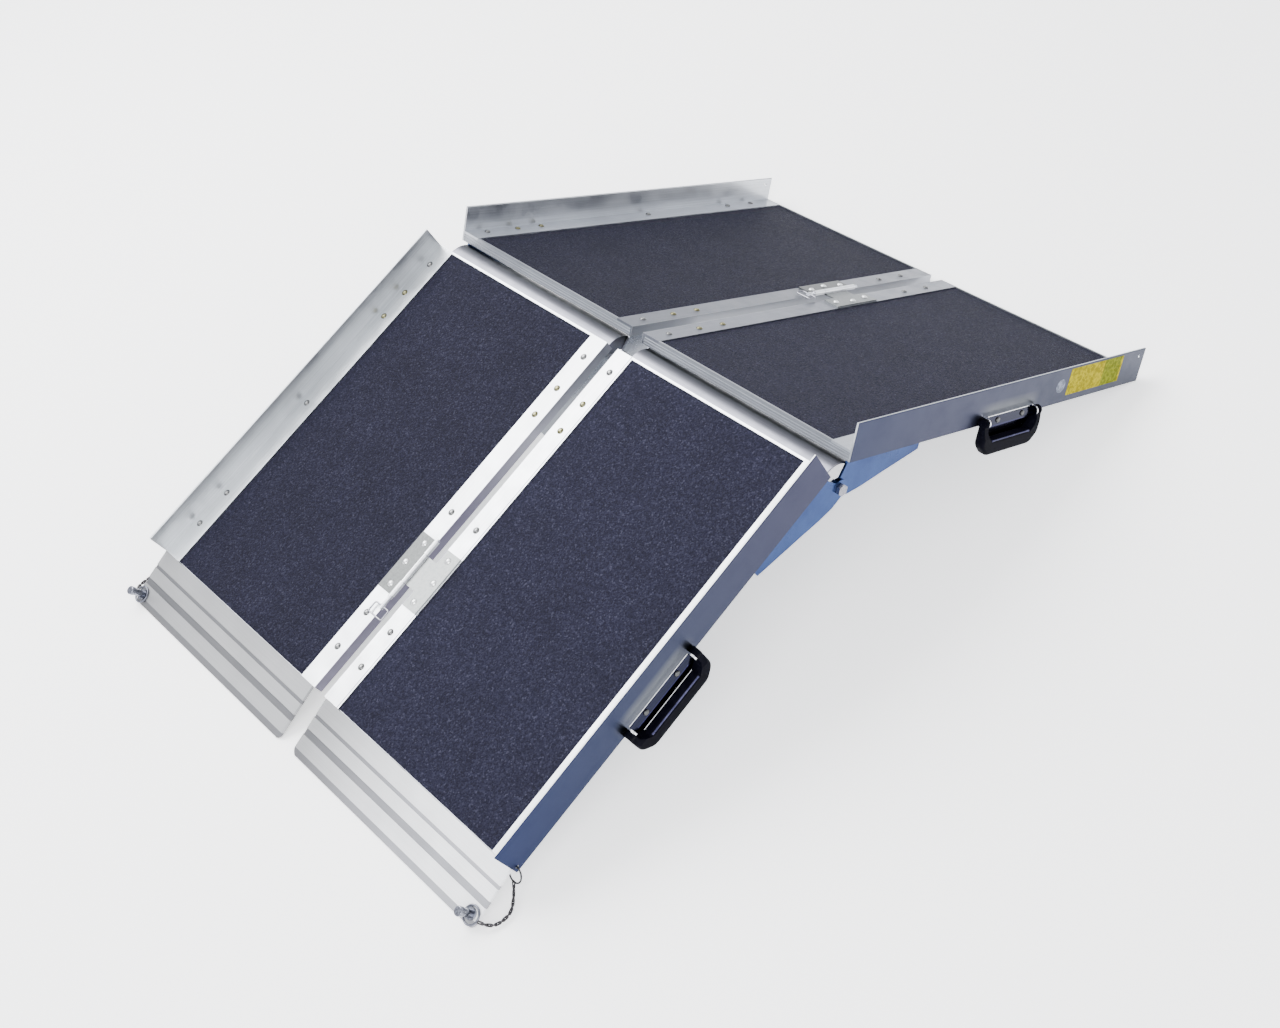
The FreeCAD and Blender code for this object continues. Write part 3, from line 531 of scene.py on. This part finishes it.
# painted reflection: the gussets' metal is given a dark blue tone for what it mirrors
GUSSET_REFLECTION_TONES = ((0.030, 0.060, 0.17), (0.014, 0.028, 0.10))
LIP_TONES = ((0.92, 0.93, 0.95), (0.84, 0.85, 0.87))
BRIDGE_TONES = ((0.34, 0.345, 0.40), (0.28, 0.285, 0.34))
MOTTLED = (14.0, 14.0, 14.0)
SATIN = (0.22, 0.4)
POLISHED = (0.12, 0.26)
SMALL_METALS = {
    "pivot_bolts": ("bolt", (0.30, 0.30, 0.34), (0.16, 0.16, 0.19), SATIN),
    "split_ring": ("split_ring", (0.055, 0.055, 0.06), (0.03, 0.03, 0.035), SATIN),
    "lip_ring": ("lip_ring", (0.17, 0.175, 0.21), (0.08, 0.085, 0.105), SATIN),
    "lip_pin": ("lip_pin", (0.24, 0.25, 0.29), (0.10, 0.105, 0.13), (0.10, 0.24)),
    "hinge_pin": ("hinge_pin", (0.75, 0.76, 0.80), (0.6, 0.61, 0.66), POLISHED),
    "pin_loop": ("pin_loop", (0.34, 0.34, 0.37), (0.2, 0.2, 0.23), POLISHED),
}


def kind_materials(section):
    """The material of each kind of CAD node on one half of the ramp."""
    def metal(word, tones, streak, **more):
        return drawn_metal(f"{section}_{word}_mat", section, *tones, streak, **more)

    kinds = {
        "deck_plate": metal("deck", DECK_TONES, STREAK_ALONG),
        "grit_sheet": grit_material(section),
        "side_rail": metal("side_rail", CURB_TONES[section], STREAK_ALONG,
                           shade=side_rail_shade(section)),
        "centre_rail": metal("centre_rail", RAIL_TONES[section], STREAK_ALONG,
                             shade=centre_rail_shade(section)),
        "end_beam": metal("end_beam", BEAM_TONES[section], STREAK_ACROSS),
        "gussets": metal("gusset", GUSSET_REFLECTION_TONES, MOTTLED, rough=(0.16, 0.30), shade=gusset_shade),
        "fasteners": rivet_material(section),
        "handle_mount": mount_material(section),
        "handle_grip": moulded_plastic(f"{section}_grip_mat"),
        "hinge_leaf": leaf_material(section),
        "lip_plate": metal("lip", LIP_TONES, STREAK_ACROSS, metallic=0.3, shade=lip_shade),
        "bridge_plate": metal("bridge", BRIDGE_TONES, STREAK_ACROSS, shade=apron_shade),
    }
    for kind, (word, light, dark, rough) in SMALL_METALS.items():
        kinds[kind] = cast_metal(f"{section}_{word}_mat", light, dark, rough=rough)
    return kinds


KIND_MATERIALS = {section: kind_materials(section) for section in SECTIONS}
CHAIN_METAL = cast_metal("chain_mat", (0.060, 0.057, 0.062), (0.028, 0.027, 0.030), rough=(0.2, 0.4))
KIND_MATERIALS["landing"]["lip_chain"] = CHAIN_METAL
# painted highlight: the bead's plastic is lifted to grey to read as the highlight line along the grip
RIDGE_HIGHLIGHT_PLASTIC = moulded_plastic("ridge_highlight_mat", gloss=0.9, tone=22.0)


def dress_cad():
    """Every CAD node gets the material of its kind."""
    for name, node in NODES.items():
        section = "ground" if "ground" in name else "landing"
        kinds = [k for k in KIND_MATERIALS[section] if name.endswith(k)]
        kind = max(kinds, key=len)
        node.data.materials.clear()
        node.data.materials.append(KIND_MATERIALS[section][kind])


dress_cad()


# ---- chains ----------------------------------------------------------------------------------
CHAIN_WIDTH = 0.0042
CHAIN_ROUTE = (
    (-0.57294, -0.36341, 0.01106),
    (-0.56767, -0.37291, 0.00621),
    (-0.55346, -0.37800, 0.00461),
    (-0.53492, -0.37450, 0.00693),
    (-0.52078, -0.35850, 0.01948),
)
LINK_WIRE = 0.00092           # radius
LINK_SIDES = 6
LINK_PITCH = 0.0043
LINK_OVERLAP = 2.6            # wire radii that a link is longer than its pitch
LINK_TURN = 90                # degrees from one link to the next
LINK_WANDER = 8               # degrees that the links hang out of square


def smooth_line(points):
    """Points of the smooth curve that has these as control points."""
    data = bpy.data.curves.new("route", "CURVE")
    data.dimensions = "3D"
    data.resolution_u = 24
    spline = data.splines.new("NURBS")
    spline.points.add(len(points) - 1)
    for point, place in zip(spline.points, points):
        point.co = (*place, 1.0)
    spline.order_u = 3
    spline.use_endpoint_u = True
    carrier = bpy.data.objects.new("route", data)
    mesh = bpy.data.meshes.new_from_object(carrier)
    line = [v.co.copy() for v in mesh.vertices]
    bpy.data.objects.remove(carrier)
    bpy.data.meshes.remove(mesh)
    bpy.data.curves.remove(data)
    return line


def line_length(line):
    return sum((b - a).length for a, b in zip(line, line[1:]))


def along_line(line, distance):
    """Point and direction at this distance along a line."""
    for a, b in zip(line, line[1:]):
        step = (b - a).length
        if distance <= step:
            return a.lerp(b, distance / step), (b - a).normalized()
        distance -= step
    return line[-1].copy(), (line[-1] - line[-2]).normalized()


def oval(centre, ahead, side, length, width, steps=14):
    """Oval wire line of one chain link."""
    path = []
    straight = (length - width) / 2
    for k in range(steps):
        turn = 2 * math.pi * k / steps
        shift = straight if math.cos(turn) > 0 else -straight
        reach = shift + math.cos(turn) * width / 2
        path.append(centre + ahead * reach + side * math.sin(turn) * width / 2)
    return path


def make_chain(lane):
    """Steel chain from the split ring in the side rail to the ring on the lip pin."""
    sign = -LANES[lane]
    route = [Vector((x, y * sign, z)) for x, y, z in CHAIN_ROUTE]
    line = smooth_line(route)
    total = line_length(line)
    count = int(total / LINK_PITCH)
    pitch = total / count
    width = CHAIN_WIDTH - 2 * LINK_WIRE
    verts = []
    faces = []
    for k in range(count):
        centre, ahead = along_line(line, (k + 0.5) * pitch)
        flat = ahead.cross(Vector((0, 0, 1))).normalized()
        roll = LINK_TURN / 2 + LINK_TURN * (k % 2) + LINK_WANDER * math.sin(k * 1.7)
        side = Matrix.Rotation(math.radians(roll), 3, ahead) @ flat
        path = oval(centre, ahead, side, pitch + LINK_OVERLAP * LINK_WIRE, width)
        new_verts, new_faces = wire_ring(path, LINK_WIRE, LINK_SIDES, len(verts))
        verts += new_verts
        faces += new_faces
    chain = add_mesh(f"{lane}_lip_chain_links", verts, faces, smooth=True)
    chain.data.materials.append(CHAIN_METAL)
    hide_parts(f"{lane}_landing_lip_chain")
    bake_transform(chain)


for lane in LANES:
    make_chain(lane)


# ---- plain stickers on the right ground side rail --------------------------------------------
STICKER_T = 0.00018
STICKER_GAP = 0.00002


def sticker(name, outline, material):
    """Thin film on the outer face of the right ground rail; outline is in (a, n)."""
    front = [at("ground", a, -HALF_WIDTH - STICKER_T, n) for a, n in outline]
    back = [at("ground", a, -HALF_WIDTH - STICKER_GAP, n) for a, n in outline]
    count = len(outline)
    faces = [tuple(range(count)), tuple(reversed(range(count, 2 * count)))]
    faces += [(k, k + count, (k + 1) % count + count, (k + 1) % count) for k in range(count)]
    made = add_mesh(name, front + back, faces)
    made.data.materials.append(material)
    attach(made, "right_ground")


def rounded_outline(a0, a1, n0, n1, radius, steps=6):
    """Rectangle with rounded corners, as (a, n) points."""
    points = []
    corners = ((a1 - radius, n1 - radius, 0), (a0 + radius, n1 - radius, 90),
               (a0 + radius, n0 + radius, 180), (a1 - radius, n0 + radius, 270))
    for a, n, first in corners:
        for k in range(steps + 1):
            turn = math.radians(first + 90 * k / steps)
            points.append((a + radius * math.cos(turn), n + radius * math.sin(turn)))
    return points


def film_material(name, base, block, edges):
    """Printed film: a plain block between the two a values in edges, faint scuffs, no lettering."""
    material, tree, shader = new_material(name, 0.0, **{"IOR": 1.3, "Specular IOR Level": 0.05})
    a, y, n, vector = panel_frame(tree, "ground")
    scuff = noise(tree, vector, 210.0, 4.0, 0.65)
    colour = mixed(tree, between(tree, a, *edges), base, block)
    worn = ramp(tree, scuff, (0.42, 0.55), (0.58, 1.0))
    colour = mixed(tree, 1.0, colour, worn, "MULTIPLY")
    rough = ramp(tree, scuff, (0.35, 0.5), (0.65, 0.34))
    connect(tree, shader, colour=colour, rough=rough, normal=bump(tree, scuff, 0.00008, 0.4))
    return material


YELLOW_FILM = film_material("yellow_film_mat", (0.34, 0.285, 0.0008), (0.17, 0.19, 0.003), (0.508, 0.549))
PALE_FILM = film_material("pale_film_mat", (0.20, 0.22, 0.28), (0.20, 0.22, 0.28), (0.0, 0.0))
sticker("plain_label", rounded_outline(0.427, 0.553, -0.005, 0.0325, 0.0015), YELLOW_FILM)
sticker("plain_round_mark", rounded_outline(0.4005, 0.4195, 0.0015, 0.0205, 0.0095, 8), PALE_FILM)


# ---- moulded ribs on the handle bosses -------------------------------------------------------
HANDLE_Y = 0.3665
HANDLE_N = -0.009
BOSS_R = 0.0058
BOSS_RIBS = (0.0585, 0.0567, 0.0549)      # from the handle's middle
RIB_R = 0.0005
RIB_RING = BOSS_R + 0.0002
RIB_STEPS = 28


def boss_ribs(lane, section):
    """Three raised rings round the boss at each end of the grip."""
    verts = []
    faces = []
    for sign in (-1, 1):
        for reach in BOSS_RIBS:
            path = []
            for k in range(RIB_STEPS):
                turn = 2 * math.pi * k / RIB_STEPS
                y = LANES[lane] * HANDLE_Y + RIB_RING * math.cos(turn)
                n = HANDLE_N + RIB_RING * math.sin(turn)
                path.append(at(section, HANDLE_MIDDLE + sign * reach, y, n))
            new_verts, new_faces = wire_ring(path, RIB_R, 8, len(verts))
            verts += new_verts
            faces += new_faces
    made = add_mesh(f"{lane}_{section}_boss_ribs", verts, faces, smooth=True)
    made.data.materials.append(KIND_MATERIALS[section]["handle_grip"])
    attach(made, f"{lane}_{section}_handle")


RIDGE_Y = 0.3737
RIDGE_N = -0.0322
RIDGE_R = 0.0009
RIDGE_HALF = 0.0385
RIDGE_ROUND = 0.0012          # length of each rounded end
RIDGE_KNOB = 1.35             # the ends swell past the bead's own radius
RIDGE_TIP = 0.05
RIDGE_END_STEPS = 4
RIDGE_SIDES = 10


def ridge_stations():
    """Places along the bead from its middle, each with its size as a share of the radius."""
    end = []
    for k in range(RIDGE_END_STEPS + 1):
        turn = math.pi / 2 * k / RIDGE_END_STEPS
        end.append((-RIDGE_HALF - RIDGE_ROUND * math.cos(turn), math.sin(turn) * RIDGE_KNOB + RIDGE_TIP))
    middle = [(-RIDGE_HALF + 0.002, 1.0), (RIDGE_HALF - 0.002, 1.0)]
    return end + middle + [(-reach, size) for reach, size in reversed(end)]


def grip_ridge(lane, section):
    """Moulded bead with rounded ends along the upper outer edge of the grip bar, in grey plastic that is a
    painted highlight.
    """
    verts = []
    faces = []
    stations = ridge_stations()
    for reach, size in stations:
        for s in range(RIDGE_SIDES):
            turn = 2 * math.pi * s / RIDGE_SIDES
            y = LANES[lane] * (RIDGE_Y + RIDGE_R * size * math.cos(turn))
            n = RIDGE_N + RIDGE_R * size * math.sin(turn)
            verts.append(at(section, HANDLE_MIDDLE + reach, y, n))
    for k in range(len(stations) - 1):
        here = k * RIDGE_SIDES
        ahead = here + RIDGE_SIDES
        for s in range(RIDGE_SIDES):
            t = (s + 1) % RIDGE_SIDES
            faces.append((here + s, ahead + s, ahead + t, here + t))
    last = (len(stations) - 1) * RIDGE_SIDES
    faces += [tuple(range(RIDGE_SIDES)), tuple(last + s for s in range(RIDGE_SIDES))]
    made = add_mesh(f"{lane}_{section}_grip_ridge", verts, faces, smooth=True)
    made.data.materials.append(RIDGE_HIGHLIGHT_PLASTIC)
    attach(made, f"{lane}_{section}_handle")


for lane in LANES:
    for section in SECTIONS:
        boss_ribs(lane, section)
        grip_ridge(lane, section)


# ---- floor and light -------------------------------------------------------------------------
FLOOR_HALF = 12.0
FLOOR_LOOK = {
    "Roughness": 0.9,
    "Base Color": (0.9, 0.9, 0.9, 1),
    "Emission Color": (1, 1, 1, 1),
    "Emission Strength": 0.8,
}
SKY_STOPS = ((0.45, (0.62, 0.64, 0.68)), (0.56, (0.60, 0.62, 0.66)), (0.8, (0.95, 0.96, 1.0)))
SKY_STRENGTH = 2.1


def make_floor():
    half = FLOOR_HALF
    corners = [(-half, -half, 0), (half, -half, 0), (half, half, 0), (-half, half, 0)]
    floor = add_mesh("floor", corners, [(0, 1, 2, 3)])
    material, tree, shader = new_material("floor_mat", 0.0, **FLOOR_LOOK)
    floor.data.materials.append(material)


def area_light(name, place, target, size, power):
    data = bpy.data.lights.new(name, "AREA")
    data.shape = "RECTANGLE"
    data.size, data.size_y = size
    data.energy = power
    lamp = add_object(name, data)
    lamp.location = place
    lamp.rotation_mode = "QUATERNION"
    lamp.rotation_quaternion = (Vector(place) - Vector(target)).to_track_quat("Z", "Y")


def make_world():
    world = bpy.data.worlds.new("studio")
    world.use_nodes = True
    tree = world.node_tree
    tree.nodes.clear()
    where = add_node(tree, "ShaderNodeTexCoord").outputs["Generated"]
    height = add_node(tree, "ShaderNodeSeparateXYZ", {0: where}).outputs[2]
    level = maths(tree, "ADD", maths(tree, "MULTIPLY", height, 0.5), 0.5)
    sky = ramp(tree, level, *SKY_STOPS)
    shade = add_node(tree, "ShaderNodeBackground", {"Color": sky, "Strength": SKY_STRENGTH})
    output = add_node(tree, "ShaderNodeOutputWorld")
    tree.links.new(shade.outputs[0], output.inputs[0])
    bpy.context.scene.world = world


make_floor()
make_world()
area_light("overhead", (-0.35, 1.7, 2.6), (-0.2, 0.0, 0.15), (3.2, 2.4), 230.0)
area_light("front_left", (-2.6, -1.8, 2.2), (0.0, 0.0, 0.1), (2.0, 2.0), 120.0)
